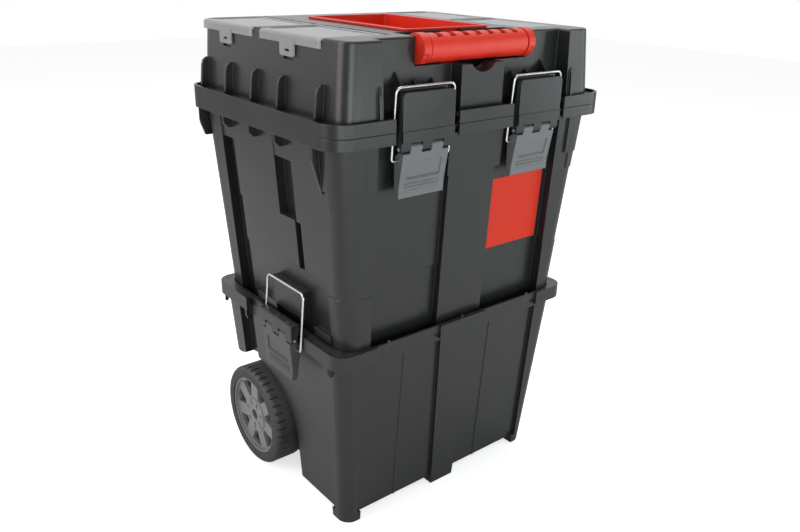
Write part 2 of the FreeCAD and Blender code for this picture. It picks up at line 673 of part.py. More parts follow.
def box_hinges():
    """Return the fixed knuckles of the rear hinge, on the upper box's rim."""
    foot = HINGE_Z - HINGE_R - WALL
    knuckles = []
    for x0, x1 in knuckle_spans(False):
        arm = box(x0, x1, REAR, HINGE_Y, foot, SEAM_Z - SEAT_GAP)
        lug = box(x0, x1, HINGE_Y - HINGE_R, HINGE_Y + HINGE_R, foot, HINGE_Z)
        barrel = rod(HINGE_R, (x0, HINGE_Y, HINGE_Z), (1, 0, 0), x1 - x0)
        knuckles += both(fused([arm, lug, barrel]).cut(hinge_bore()[0]))
    return Part.makeCompound(knuckles)


def knuckle_spans(moving):
    """Return the X spans of the rear hinge knuckles, fixed or moving."""
    step = (HINGE_X1 - HINGE_X0) / HINGE_COUNT
    spans = []
    for k in range(HINGE_COUNT):
        if (k % 2 == 1) == moving:
            spans.append((HINGE_X0 + k * step + HINGE_FIT, HINGE_X0 + (k + 1) * step - HINGE_FIT))
    return spans


def hinge_bore():
    """Return the bore of the rear hinge on both sides."""
    length = HINGE_X1 - HINGE_X0 + 2
    return both(rod(PIN_R + RUN_FIT, (HINGE_X0 - 1, HINGE_Y, HINGE_Z), (1, 0, 0), length))


def box_tub():
    """Return the moulded upper box in one, with columns, channels, neck and gussets."""
    outer, inner = moulded(BOX, (BOX_Z0, BOX_RIM_Z0, BOX_BASE), box_patches())
    wall = BOX.solid(BOX_RIM_Z0 - 2 * WALL, SEAM_Z - SEAT_GAP, BOX_BASE)
    neck = BOX.solid(BOX_RIM_Z0 - 2 * WALL, SEAM_Z + 1, shrink(BOX_BASE))
    hollow = inner.common(box(-BIG, BIG, -BIG, BIG, 0, BOX_RIM_Z0 - WALL))
    body = outer.fuse([wall] + box_gussets())
    return body.cut([hollow, neck] + notch(BOX_CAP_Z, SEAM_Z + 1, NOTCH_Y))


def box_walls():
    """Return the upper box as its front, its left and right sides, and its floor with the rear wall."""
    front, rest = parted(box_tub(), COLUMN_Y)
    blocks = [box(x0, x1, COLUMN_Y, BIG, 0, BIG) for x0, x1 in ((-BIG, -COLUMN_X), (COLUMN_X, BIG))]
    return front, rest.common(blocks[0]), rest.common(blocks[1]), rest.cut(blocks)


# ---------------------------------------------------------------- latches
# Local frame of a latch: u along its pin, v outward, w up.
def place(shape, frame):
    """Move a latch piece from its local frame to where the latch stands.

    frame is (turn about Z, x, y, z); local v points to -Y before the turn.
    """
    turn, x, y, z = frame
    moved = shape.copy()
    moved.rotate(Vector(0, 0, 0), Vector(0, 0, 1), turn)
    moved.translate(Vector(x, y, z))
    return moved


def front_frame(side):
    """Return the frame of a front latch."""
    return (0, side * LATCH_X, FRONT_PIN[0], FRONT_PIN[1])


def side_frame(side):
    """Return the frame of a side latch."""
    return (side * 90, side * SIDE_PIN[0], LATCH_Y, SIDE_PIN[1])


def vbox(u0, u1, v0, v1, w0, w1):
    """Return a block in the latch frame, where v points out of the wall."""
    return box(u0, u1, -v1, -v0, w0, w1)


def knuckles(block_w, moving):
    """Return the u spans of the latch knuckles: three fixed, two moving."""
    gap = (block_w - 3 * KNUCKLE_W) / 2
    spans = []
    for k in range(3):
        start = -block_w / 2 + k * (KNUCKLE_W + gap)
        if not moving:
            spans.append((start, start + KNUCKLE_W))
        elif k < 2:
            spans.append((start + KNUCKLE_W + KNUCKLE_FIT, start + KNUCKLE_W + gap - KNUCKLE_FIT))
    return spans


def bail_pivot(tilt):
    """Return the (v, w) point of the bail's pivot after the lever's tilt."""
    a = math.radians(tilt)
    return (BAIL_V * math.cos(a) + BAIL_W * math.sin(a), BAIL_W * math.cos(a) - BAIL_V * math.sin(a))


def lever(block_w, tilt):
    """Return a latch lever in its local frame."""
    half = LEVER_W / 2
    length = LEVER_H
    plate = vbox(-half, half, 0, LEVER_T, -length, -LEVER_NECK)
    cheeks = []
    for u0 in (-half, half - CHEEK_T):
        pts = [(u0, -LEVER_T, -length), (u0, CHEEK_TOE, -length), (u0, CHEEK_DEEP, CHEEK_W[0]),
               (u0, CHEEK_DEEP, CHEEK_W[1]), (u0, CHEEK_HEAD, -LEVER_NECK), (u0, -LEVER_T, -LEVER_NECK)]
        cheeks.append(prism(pts, (CHEEK_T, 0, 0)))
    heads = []
    for u0, u1 in knuckles(block_w, True):
        heads.append(rod(KNUCKLE_R, (u0, 0, 0), (1, 0, 0), u1 - u0))
        heads.append(vbox(u0, u1, 0, LEVER_T, -KNUCKLE_R - WALL, 0))
    ridges = []
    for k in range(RIDGE_COUNT):
        w = -length + RIDGE_LOW + RIDGE_PITCH * k
        ridges.append(vbox(-half + RIDGE_INSET, half - RIDGE_INSET, LEVER_T - 1, LEVER_T + 1, w, w + RIDGE_H))
    out, rise = LEVER_FLARE
    flare = [(-half, -LEVER_T, -length), (-half, -LEVER_T - out, -length), (-half, -LEVER_T, -length + rise)]
    body = fused([plate, prism(flare, (LEVER_W, 0, 0))] + cheeks + heads + ridges)
    panel = vbox(-half + RIDGE_INSET, half - RIDGE_INSET, LEVER_T - POCKET_DEEP, LEVER_T + WALL, *POCKET_W)
    inset, high, low = POCKET_LIP
    slope = [(-half + inset, -LEVER_T - WALL, high), (-half + inset, -LEVER_T - WALL, low),
             (-half + inset, -LEVER_T + CHEEK_TOE, high)]
    slope = prism(slope, (LEVER_W - 2 * inset, 0, 0))
    holes = [rod(PIN_R + RUN_FIT, (-half, 0, 0), (1, 0, 0), LEVER_W),
             rod(WIRE_R + RUN_FIT, (-half - 1, -BAIL_V, BAIL_W), (1, 0, 0), LEVER_W + 2)]
    body = body.cut([panel, slope] + holes)
    body.rotate(Vector(0, 0, 0), Vector(1, 0, 0), tilt)
    return body


def bail(block_w, tilt, bar):
    """Return the wire bail: two legs, a bar and inward tails at its pivots."""
    v0, w0 = bail_pivot(tilt)
    v1, w1 = bar
    half = block_w / 2 + BAIL_OUT
    tail = LEVER_W / 2 - CHEEK_T - 1.0
    base = (-v0, w0)
    top = (-v1, w1)
    length = math.hypot(top[0] - base[0], top[1] - base[1])
    unit = ((top[0] - base[0]) / length, (top[1] - base[1]) / length)

    def spot(u, along):
        return Vector(u, base[0] + unit[0] * along, base[1] + unit[1] * along)

    def corner(u, along, du, da):
        bend = BAIL_BEND if along > 0 else BAIL_TAIL / 2
        cut = bend * (1 - math.sqrt(0.5))
        return (spot(u + du * bend, along), spot(u + du * cut, along + da * cut), spot(u, along + da * bend))

    edges = []
    low_l, high_l = corner(-half, 0, 1, 1), corner(-half, length, 1, -1)
    low_r, high_r = corner(half, 0, -1, 1), corner(half, length, -1, -1)
    edges.append(Part.makeLine(spot(-tail, 0), low_l[0]))
    edges.append(Part.Arc(*low_l).toShape())
    edges.append(Part.makeLine(low_l[2], high_l[2]))
    edges.append(Part.Arc(high_l[2], high_l[1], high_l[0]).toShape())
    edges.append(Part.makeLine(high_l[0], high_r[0]))
    edges.append(Part.Arc(*high_r).toShape())
    edges.append(Part.makeLine(high_r[2], low_r[2]))
    edges.append(Part.Arc(low_r[2], low_r[1], low_r[0]).toShape())
    edges.append(Part.makeLine(low_r[0], spot(tail, 0)))
    path = Part.Wire(edges)
    circle = Part.Wire(Part.makeCircle(WIRE_R, spot(-tail, 0), Vector(1, 0, 0)))
    return path.makePipeShell([circle], True, True)


def fixed_knuckles(block_w, top, back):
    """Return the three fixed knuckles and their webs up to a block."""
    shapes = []
    for u0, u1 in knuckles(block_w, False):
        shapes.append(rod(KNUCKLE_R, (u0, 0, 0), (1, 0, 0), u1 - u0))
        shapes.append(vbox(u0, u1, back, KNUCKLE_R, 0, top))
    return shapes


def pin_bore(block_w):
    """Return the bore for a latch pin."""
    return rod(PIN_R + RUN_FIT, (-block_w / 2 - 1, 0, 0), (1, 0, 0), block_w + 2)


def latch_pin(block_w):
    """Return a steel latch pin."""
    return rod(PIN_R, (-block_w / 2 - 1, 0, 0), (1, 0, 0), block_w + 2)


def front_cover():
    """Return the cover block of a front latch in its local frame, open behind for the lid's keeper."""
    half = FRONT_BLOCK_W / 2
    face = FRONT_PIN[0] - FRONT
    low = BOX_RIM_Z0 - FRONT_PIN[1]
    seam = SEAM_Z - SEAT_GAP - FRONT_PIN[1]
    top = COVER_TOP_Z - FRONT_PIN[1]
    back = FRONT_PIN[0] - NOTCH_Y
    lower = vbox(-half, half, back, face + COVER_BAND, low, seam)
    relief = vbox(-half + WALL, half - WALL, back - 1, face - WALL, low + WALL, seam - WALL)
    plate = vbox(-half, half, -WALL, face + COVER_FACE, seam, top)
    plate = rounded(plate, 2 * WALL, lambda a, b: abs(a.y - b.y) > 1 and min(a.z, b.z) > top - 1)
    pocket = vbox(-half + WALL, half - WALL, -WALL - 1, face - WALL, seam, top + 1)
    body = fused([lower, plate] + fixed_knuckles(FRONT_BLOCK_W, low + 1, -KNUCKLE_R))
    return body.cut([relief, pocket, pin_bore(FRONT_BLOCK_W)])


def side_block():
    """Return the bracket block of a side latch in its local frame."""
    half = SIDE_BLOCK_W / 2
    wall_v = BIN.at(BIN_RIM_Z0, (1, 0, 0))[1] - SIDE_PIN[0]
    low = 7.0
    top = 21.0
    head = vbox(-half, half, -8.5, 4.6, low, top)
    head = rounded(head, 2.0, lambda a, b: along_x(a, b) and min(a.z, b.z) > top - 1)
    plate = vbox(-half, half, wall_v, wall_v + 3.5, BIN_RIM_Z0 + 1 - SIDE_PIN[1], BIN_RIM_Z1 - SIDE_PIN[1])
    neck = vbox(-half, half, wall_v, -8.4, BIN_RIM_Z1 - SIDE_PIN[1], low + 5)
    bumps = [rod(WALL, (u, 2, top - 1), (0, 0, 1), 2) for u in (-24, 0, 24)]
    body = fused([head, plate, neck] + bumps + fixed_knuckles(SIDE_BLOCK_W, low + 1, -KNUCKLE_R))
    return body.cut(pin_bore(SIDE_BLOCK_W))


def side_keeper(side):
    """Return the pad on the upper box that a side bail bears on."""
    half = SIDE_BLOCK_W / 2 - 2
    low, high = KEEPER_Z
    pad = box(COLUMN_X, KEEPER_OUT, LATCH_Y - half, LATCH_Y + half, low, high)
    outer = KEEPER_OUT - 1
    pad = rounded(pad, WALL, lambda a, b: abs(a.y - b.y) > 10 and max(a.x, b.x) > outer and a.z > high - 1)
    pad = pad.cut(BOX.solid(BOX_Z0, BOX_STEP_Z, (-5.0, 0, 0)))
    return pad if side > 0 else mirrored(pad)


# ---------------------------------------------------------------- lid
def lid_outline(z0, z1, inset, eased=False):
    """Return the lid's body outline: corner blocks with a recessed front centre."""
    grow = (-inset, -inset, -inset)
    body = LID.hole(z0, z1, grow) if eased else LID.solid(z0, z1, grow)
    reach = LID_CENTRE_X + inset
    return body.cut(box(-reach, reach, -BIG, LID_CENTRE_Y + inset, z0 - 1, z1 + 1))


def lid_flange():
    """Return the lid's flange with its gutter, open underneath, fitted round the lid's walls."""
    slab = ring(HALF_W, FRONT, REAR, RIM_RADIUS, SEAM_Z, LID_RIM_Z1)
    inner = (HALF_W - RIM_SKIN, FRONT + RIM_SKIN, REAR - RIM_SKIN, RIM_RADIUS - RIM_SKIN)
    gutter = ring(*inner, GUTTER_Z, LID_RIM_Z1 + 1)
    under = ring(*inner, SEAM_Z - 1, GUTTER_Z - RIM_SKIN)
    hole = lid_outline(SEAM_Z - 1, LID_RIM_Z1 + 1, 0, True)
    return slab.cut([gutter, under, hole] + notch(SEAM_Z - 1, LID_RIM_Z1 + 1, NOTCH_Y))


def side_ribs():
    """Return the upright ribs on the lid's side walls and the front of its corner blocks."""
    top = GUTTER_Z + RIB_H
    ribs = []
    for y in [row[0] for row in GUSSETS]:
        x0 = LID_HIGH[1]
        y0 = min(y, LID_HIGH[3] - LID_RADIUS) - RIB_T / 2
        pts = [(x0, y0, GUTTER_Z), (RIB_FOOT, y0, GUTTER_Z), (RIB_TIP, y0, top - 10),
               (RIB_TIP - 2, y0, top - 4),
               (RIB_TIP - 6.5, y0, top - 0.5), (x0, y0, top)]
        ribs += both(prism(pts, (0, RIB_T, 0)))
    for x in [LID_CENTRE_X + 4]:
        y0, y1 = FRONT + RIM_SKIN + 1, LID_HIGH[2] + 1
        pts = [(x, y0, GUTTER_Z), (x, y1, GUTTER_Z), (x, y1, top), (x, y1 - 3, top - 0.5),
               (x, y0 + 4, top - 4),
               (x, y0 + 2, top - 10)]
        ribs += both(prism(pts, (RIB_T, 0, 0)))
    return ribs


def lid_pilaster():
    """Return the front pilaster below the carry handle, with its thumb scoop."""
    block = box(-PILASTER_HALF, PILASTER_HALF, LID_HIGH[2], LID_CENTRE_Y + 1, GUTTER_Z, CUTOUT_Z)
    scoop = rod(SCOOP_R, (0, FRONT, CUTOUT_Z + 14), (0, 1, 0), DEPTH / 4)
    return block, scoop


def block_top(a, b):
    """Tell whether an edge runs round the top of a front corner block."""
    ahead = min(a.y, b.y) < COVER_SPANS[0][0] - 2 and min(abs(a.x), abs(b.x)) > LID_CENTRE_X - 1
    return ahead and min(a.z, b.z) > HEIGHT - 0.5


def lid_tub():
    """Return the moulded lid in one: walls, deck, tray pocket, handle recess, ribs and pilaster."""
    pilaster, scoop = lid_pilaster()
    cavity = lid_outline(SEAM_Z - 1, HEIGHT - WALL, WALL)
    solid = fused([lid_outline(SEAM_Z, HEIGHT, 0), pilaster] + side_ribs()).cut([cavity] + cover_slots())
    solid = rounded(solid, LID_EDGE_R, block_top)
    grow = TRAY_GAP + WALL
    arm_x = HANDLE_X + 1
    linings = [
        box(-TRAY_X - grow, TRAY_X + grow, TRAY_Y0 - grow, TRAY_Y1 + grow, TRAY_Z0 - grow, HEIGHT),
        box(-arm_x - WALL, arm_x + WALL, LID_CENTRE_Y, RECESS_Y1 + WALL, RECESS_Z0 - WALL, HEIGHT),
    ]
    pockets = [
        box(-TRAY_X - TRAY_GAP, TRAY_X + TRAY_GAP, TRAY_Y0 - TRAY_GAP, TRAY_Y1 + TRAY_GAP, TRAY_Z0 - SEAT_GAP,
            HEIGHT + 1),
        box(-arm_x, arm_x, LID_CENTRE_Y + WALL, RECESS_Y1, RECESS_Z0, HEIGHT + 1),
        box(-arm_x, arm_x, -BIG, LID_CENTRE_Y + 2 * WALL, CUTOUT_Z, HEIGHT + 1),
    ]
    return solid.fuse(linings).cut(pockets + [scoop] + tab_windows() + handle_bores())


def organiser(side):
    """Return the two well blocks of one side organiser, hung under the deck."""
    top = HEIGHT - WALL
    x0 = COVER_X - COVER_SLOT - WALL
    clip = lid_outline(WELL_Z0 - WALL - 1, HEIGHT, WALL + SIDE_FIT)
    room = lid_outline(WELL_Z0 - WALL - 1, HEIGHT, 2 * WALL + SIDE_FIT)
    blocks = []
    for y0, y1 in COVER_SPANS:
        ear = box(x0, BIG, y0 - ORGANISER_EAR, y1 + ORGANISER_EAR, top - ORGANISER_HANG, top)
        tub = box(WELL_X0 - WALL, BIG, y0 + 1, y1 - 1, WELL_Z0 - WALL, top)
        mid = (y0 + y1) / 2
        spans = ((y0 + WELL_END, mid - WELL_WEB / 2), (mid + WELL_WEB / 2, y1 - WELL_END))
        wells = [box(WELL_X0, BIG, front, rear, WELL_Z0, HEIGHT) for front, rear in spans]
        wells = [well.common(room) for well in wells]
        blocks.append(fused([ear, tub]).common(clip).cut(wells + cover_slots()))
    body = Part.makeCompound(blocks)
    return body if side > 0 else mirrored(body)


def lid_hinges():
    """Return the moving knuckles of the rear hinge, on the lid's flange."""
    shapes = []
    for x0, x1 in knuckle_spans(True):
        arm = box(x0, x1, REAR, HINGE_Y, HINGE_Z, GUTTER_Z)
        barrel = rod(HINGE_R, (x0, HINGE_Y, HINGE_Z), (1, 0, 0), x1 - x0)
        shapes += both(fused([arm, barrel]).cut(hinge_bore()[0]))
    return Part.makeCompound(shapes)


def handle_bores():
    """Return the bores for the carry handle's pins."""
    y, z = HANDLE_PIVOT
    return both(rod(PIN_R + RUN_FIT, (HANDLE_X - HANDLE_ARM_T - 2, y, z), (1, 0, 0), HANDLE_ARM_T + 10))


def cover_slots():
    """Return the slots in the deck that clear the cover barrels, plates and pins."""
    cuts = []
    for y0, y1 in COVER_SPANS:
        a, b = y0 - COVER_FIT, y1 + COVER_FIT
        slot = box(COVER_X - COVER_SLOT, WELL_X0 + 1, a, b, COVER_Z - COVER_R - 1, HEIGHT + 1)
        deck = box(COVER_X - COVER_SLOT, BIG, a, b, HEIGHT - COVER_T - SEAT_GAP, HEIGHT + 1)
        reach = COVER_PIN_END + RUN_FIT
        bore = rod(COVER_PIN_R + RUN_FIT, (COVER_X, y0 - reach, COVER_Z), (0, 1, 0), y1 - y0 + 2 * reach)
        cuts += both(slot) + both(deck) + both(bore)
    return cuts


def tab_windows():
    """Return the windows in the lid's side walls behind the foot of each cover's tab."""
    cuts = []
    low = HEIGHT - COVER_LIP - TAB_DROP
    for y0, y1 in COVER_SPANS:
        mid = (y0 + y1) / 2
        x0 = LID_HIGH[1] - 2 * WALL / 3
        cuts += both(box(x0, BIG, mid - TAB_WINDOW, mid + TAB_WINDOW, low - 4, low + 5))
    return cuts


def cover(side, span):
    """Return one clear organiser cover with its barrel, raised border, lip and tab."""
    y0, y1 = span
    edge = COVER_BORDER
    inner = COVER_OUT - 2.0
    mid = (y0 + y1) / 2
    plate = box(COVER_X, COVER_OUT, y0, y1, HEIGHT - COVER_LIP, HEIGHT)
    plate = rounded(plate, 6.0, lambda a, b: upright(a, b) and min(a.x, b.x) > COVER_OUT - 1)
    bend_x = COVER_OUT - 7
    plate = rounded(plate, COVER_BEND, lambda a, b: min(a.z, b.z) > HEIGHT - 1 and max(a.x, b.x) > bend_x)
    under = box(COVER_X - 1, inner, y0 - 1, y1 + 1, HEIGHT - COVER_LIP - 1, HEIGHT - COVER_T)
    under = rounded(under, 4.0, lambda a, b: upright(a, b) and min(a.x, b.x) > inner - 1)
    dish = box(COVER_X + edge, inner - edge, y0 + edge, y1 - edge, HEIGHT - COVER_DISH, HEIGHT + 1)
    dish = rounded(dish, 5.0, upright)
    low = HEIGHT - COVER_LIP - TAB_DROP
    tab = box(inner + 0.9, COVER_OUT + 1.4, mid - TAB_HALF, mid + TAB_HALF, low, HEIGHT - COVER_LIP + 4)
    tab = rounded(tab, 2.5, lambda a, b: abs(a.x - b.x) > 1 and max(a.z, b.z) < low + 3)
    window = box(inner, COVER_OUT + 2, mid - 6, mid + 6, low + 5, low + 8)
    barrel = rod(COVER_R, (COVER_X, y0, COVER_Z), (0, 1, 0), y1 - y0)
    bore = rod(COVER_PIN_R + RUN_FIT, (COVER_X, y0 - 1, COVER_Z), (0, 1, 0), y1 - y0 + 2)
    body = fused([plate.cut([under, dish]), tab, barrel]).cut([window, bore])
    return body if side > 0 else mirrored(body)


def cover_pins():
    """Return the four pins the organiser covers turn on."""
    pins = []
    for y0, y1 in COVER_SPANS:
        length = y1 - y0 + 2 * COVER_PIN_END
        pins += both(rod(COVER_PIN_R, (COVER_X, y0 - COVER_PIN_END, COVER_Z), (0, 1, 0), length))
    return Part.makeCompound(pins)


def lid_tray():
    """Return the lift-out tray with its low partitions."""
    skin = 2.0
    body = box(-TRAY_X, TRAY_X, TRAY_Y0, TRAY_Y1, TRAY_Z0, HEIGHT + 1)
    body = rounded(body, 6.0, upright)
    lip = box(-TRAY_X - TRAY_LIP, TRAY_X + TRAY_LIP, TRAY_Y0 - TRAY_LIP / 2, TRAY_Y1 + TRAY_LIP, HEIGHT + 0.5,
              HEIGHT + 3)
    lip = rounded(lip, 8.0, upright)
    inner = box(-TRAY_X + skin, TRAY_X - skin, TRAY_Y0 + skin, TRAY_Y1 - skin, TRAY_Z0 + skin, HEIGHT + 4)
    inner = rounded(inner, 4.0, upright)
    tray = body.fuse(lip).cut(inner)
    mid = TRAY_Y0 + 0.42 * (TRAY_Y1 - TRAY_Y0)
    low = HEIGHT - 12
    cross = box(-TRAY_X + 1, TRAY_X - 1, mid, mid + skin, TRAY_Z0 + 1, low)
    return tray.fuse([cross])


def carry_handle():
    """Return the hollow barrel grip with its end arms, slots and ring grooves."""
    half = HANDLE_X
    grip = rod(HANDLE_R, (-half, HANDLE_Y, HANDLE_Z), (1, 0, 0), 2 * half)
    core_x = half - HANDLE_ARM_T - HANDLE_WALL
    core = rod(HANDLE_R - HANDLE_WALL, (-core_x, HANDLE_Y, HANDLE_Z), (1, 0, 0), 2 * core_x)
    cuts = []
    for k in range(HANDLE_SLOTS):
        x = (k - (HANDLE_SLOTS - 1) / 2) * HANDLE_PITCH
        cuts.append(box(x - HANDLE_SLOT_W / 2, x + HANDLE_SLOT_W / 2, HANDLE_Y - HANDLE_SLOT_Y,
                        HANDLE_Y + HANDLE_SLOT_Y, HANDLE_Z + HANDLE_SLOT_Z, HANDLE_Z + HANDLE_R + 1))
    for x in (-half + HANDLE_ARM_T, half - HANDLE_ARM_T - HANDLE_GROOVE):
        outer = rod(HANDLE_R + 1, (x, HANDLE_Y, HANDLE_Z), (1, 0, 0), HANDLE_GROOVE)
        groove_core = rod(HANDLE_R - HANDLE_GROOVE, (x, HANDLE_Y, HANDLE_Z), (1, 0, 0), HANDLE_GROOVE)
        cuts.append(outer.cut(groove_core))
    grip = grip.cut([core] + cuts)
    arm = hull_plate([(HANDLE_Y, HANDLE_Z, HANDLE_CAP_R), (HANDLE_PIVOT[0], HANDLE_PIVOT[1], HANDLE_LUG_R)],
                     half - HANDLE_ARM_T, HANDLE_ARM_T)
    pocket = box(half - HANDLE_ARM_T + WALL, half + 1, HANDLE_Y - HANDLE_R, HANDLE_Y - 2 * WALL,
                 HANDLE_Z - HANDLE_R + WALL, HANDLE_Z - WALL)
    body = grip.fuse(both(arm.cut(pocket)))
    return body.cut(handle_bores())


def handle_pins():
    """Return the two pins the carry handle turns on."""
    y, z = HANDLE_PIVOT
    pin = rod(PIN_R, (HANDLE_X - HANDLE_ARM_T, y, z), (1, 0, 0), HANDLE_ARM_T + WALL + 0.5)
    return Part.makeCompound(both(pin))


def hinge_pins():
    """Return the two rear hinge pins."""
    pin = rod(PIN_R, (HINGE_X0, HINGE_Y, HINGE_Z), (1, 0, 0), HINGE_X1 - HINGE_X0)
    return Part.makeCompound(both(pin))


def front_keeper(side):
    """Return the ledge on the lid that a front bail bears on, its lip and the fins above it."""
    half = FRONT_BLOCK_W / 2 - 4
    x0, x1 = LATCH_X - half, LATCH_X + half
    low, y0, top = LID_RIM_Z1 + 2, LID_KEEPER_Y, LID_KEEPER_Z
    y1 = y0 + KEEPER_LIP_Y
    web = [(x0, LID_CENTRE_Y, low), (x0, y1, low + 4), (x0, y1, top), (x0, LID_CENTRE_Y, top)]
    lip = [(x0, y1, top - KEEPER_LIP_Z - WALL), (x0, y0, top - KEEPER_LIP_Z), (x0, y0, top), (x0, y1, top)]
    shapes = [prism(web, (x1 - x0, 0, 0)), prism(lip, (x1 - x0, 0, 0))]
    for dx, rise in FINS:
        x, peak = LATCH_X - dx - FIN_T / 2, LID_RIM_Z1 + rise
        depth = min(peak - top, FIN_SLOPE)
        front = LID_CENTRE_Y - depth
        pts = [(x, LID_CENTRE_Y, top), (x, front, top), (x, front, peak - depth), (x, LID_CENTRE_Y, peak)]
        if depth < FIN_SLOPE:
            pts.pop(2)
        shapes.append(prism(pts, (FIN_T, 0, 0)))
    body = Part.makeCompound(shapes)
    return body if side > 0 else mirrored(body)


# ---------------------------------------------------------------- trolley handle
def outer_tube(side):
    """Return one outer tube of the trolley handle."""
    start = (side * TUBE_X, TUBE_Y, TUBE_Z0)
    tube = rod(TUBE_R, start, (0, 0, 1), TUBE_Z1 - TUBE_Z0)
    return tube.cut(rod(TUBE_R - TUBE_T, start, (0, 0, 1), TUBE_Z1 - TUBE_Z0))


def inner_tube(side):
    """Return one sliding tube of the trolley handle."""
    start = (side * TUBE_X, TUBE_Y, INNER_Z0)
    length = GRIP_Z0 + GRIP_SOCKET - INNER_Z0
    tube = rod(INNER_R, start, (0, 0, 1), length)
    return tube.cut(rod(INNER_R - TUBE_T, start, (0, 0, 1), length))


def trolley_grip():
    """Return the grip of the trolley handle, with a finger gap between its posts."""
    y0, y1 = TUBE_Y - GRIP_R, TUBE_Y + GRIP_R
    body = box(-GRIP_HALF, GRIP_HALF, y0, y1, GRIP_Z0, GRIP_Z1)
    body = rounded(body, 5.0, along_x)
    gap = box(-TUBE_X + 18, TUBE_X - 18, y0 - 1, y1 + 1, GRIP_Z0 - 1, GRIP_Z0 + 9)
    sockets = [rod(INNER_R + RUN_FIT, (s * TUBE_X, TUBE_Y, GRIP_Z0 - 1), (0, 0, 1), GRIP_SOCKET + 1 + RUN_FIT)
               for s in (-1, 1)]
    return body.cut([gap] + sockets)


def bracket(z0, z1):
    """Return one cross bracket that holds the outer tubes to the bin."""
    y0, y1 = BIN.at(z0, (0, 0, 0))[3] - 20, TUBE_Y + TUBE_R + 3.5
    bridge = box(-BRACKET_HALF, BRACKET_HALF, y0, TUBE_Y - TUBE_R - 2, z0, z1)
    posts = [box(s * TUBE_X - 12, s * TUBE_X + 12, TUBE_Y - TUBE_R - 3, y1, z0, z1) for s in (-1, 1)]
    posts = [rounded(p, 4.0, lambda a, b: upright(a, b) and min(a.y, b.y) > TUBE_Y) for p in posts]
    bores = [rod(TUBE_R + RUN_FIT, (s * TUBE_X, TUBE_Y, z0 - 1), (0, 0, 1), z1 - z0 + 2) for s in (-1, 1)]
    base = (-BIN_CHANNEL, -BIN_PANEL, -WALL)
    body = fused([bridge] + posts).cut([BIN.solid(BIN_FLOOR_Z, BIN_RIM_Z0, base)] + bores)
    holes = [rod(SCREW_R + RUN_FIT, (x, 0, (z0 + z1) / 2), (0, 1, 0), BIG) for x in screw_xs()]
    return body.cut(holes)


def screw_xs():
    """Return the X positions of the bracket screws."""
    return (-SCREW_X, SCREW_X)


def bracket_screws():
    """Return the screws through both brackets."""
    out = []
    for z0, z1 in BRACKETS:
        y = TUBE_Y - TUBE_R - 2
        for x in screw_xs():
            head = rod(SCREW_HEAD_R, (x, y, (z0 + z1) / 2), (0, 1, 0), SCREW_HEAD_T)
            shank = rod(SCREW_R, (x, y - 8, (z0 + z1) / 2), (0, 1, 0), 8)
            drive = box(x - 2.6, x + 2.6, y + 1, y + BIG, (z0 + z1) / 2 - 0.5, (z0 + z1) / 2 + 0.5)
            out.append(head.fuse(shank).cut(drive))
    return Part.makeCompound(out)


# ---------------------------------------------------------------- export
def nodes():
    """Return every node of the assembly by name."""
    blocks, spacers = saddles()
    bin_front, bin_rest = parted(bin_tub(), FOOT_Y)
    lid_front, lid_rest = parted(lid_tub(), LID_CENTRE_Y + WALL)
    box_front, box_left, box_right, box_rest = box_walls()
    out = {
        "bin_shell": bin_rest,
        "bin_front": bin_front,
        "bin_rim": bin_rim(),
        "axle": axle(),
        "axle_caps": axle_caps(),
        "axle_saddles": blocks,
        "wheel_spacers": spacers,
        "bracket_lower": bracket(*BRACKETS[0]),
        "bracket_upper": bracket(*BRACKETS[1]),
        "bracket_screws": bracket_screws(),
        "trolley_grip": trolley_grip(),
        "box_shell": box_rest,
        "box_front": box_front,
        "box_side_left": box_left,
        "box_side_right": box_right,
        "lid_shell": lid_rest,
        "lid_front": lid_front,
        "box_rim": box_rim(),
        "box_hinges": box_hinges(),
        "lid_flange": lid_flange(),
        "lid_hinges": lid_hinges(),
        "lid_hinge_pins": hinge_pins(),
        "lid_tray": lid_tray(),
        "carry_handle": carry_handle(),
        "handle_pins": handle_pins(),
        "cover_pins": cover_pins(),
    }
    side_pins, front_pins = [], []
    for name, side in (("left", -1), ("right", 1)):
        out["tyre_" + name] = tyre(side)
        out["hub_" + name] = hub(side)
        out["outer_tube_" + name] = outer_tube(side)
        out["inner_tube_" + name] = inner_tube(side)
        out["side_block_" + name] = place(side_block(), side_frame(side))
        out["side_lever_" + name] = place(lever(SIDE_BLOCK_W, SIDE_TILT), side_frame(side))
        out["side_bail_" + name] = place(bail(SIDE_BLOCK_W, SIDE_TILT, SIDE_BAR), side_frame(side))
        out["side_keeper_" + name] = side_keeper(side)
        out["front_cover_" + name] = place(front_cover(), front_frame(side))
        out["front_lever_" + name] = place(lever(FRONT_BLOCK_W, FRONT_TILT), front_frame(side))
        out["front_bail_" + name] = place(bail(FRONT_BLOCK_W, FRONT_TILT, FRONT_BAR), front_frame(side))
        out["front_keeper_" + name] = front_keeper(side)
        out["organiser_" + name] = organiser(side)
        for place_name, span in zip(("front", "rear"), COVER_SPANS):
            out["cover_{}_{}".format(place_name, name)] = cover(side, span)
        side_pins.append(place(latch_pin(SIDE_BLOCK_W), side_frame(side)))
        front_pins.append(place(latch_pin(FRONT_BLOCK_W), front_frame(side)))
    out["side_latch_pins"] = Part.makeCompound(side_pins)
    out["front_latch_pins"] = Part.makeCompound(front_pins)
    return out


def main():
    """Build every node and write it as its own STEP file."""
    os.makedirs("parts", exist_ok=True)
    for name, shape in nodes().items():
        solids = shape.Solids
        out = solids[0] if len(solids) == 1 else Part.makeCompound(solids)
        out.exportStep("parts/" + name + ".step")
        print(name, len(solids), round(out.Volume / 1000.0, 1), "valid" if out.isValid() else "INVALID")


main()
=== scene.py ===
"""Looks of the wheeled storage box: finishes, label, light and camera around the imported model."""
import logging
import math
from dataclasses import dataclass, field
from enum import Enum

import bmesh
import bpy
from mathutils import Matrix, Vector


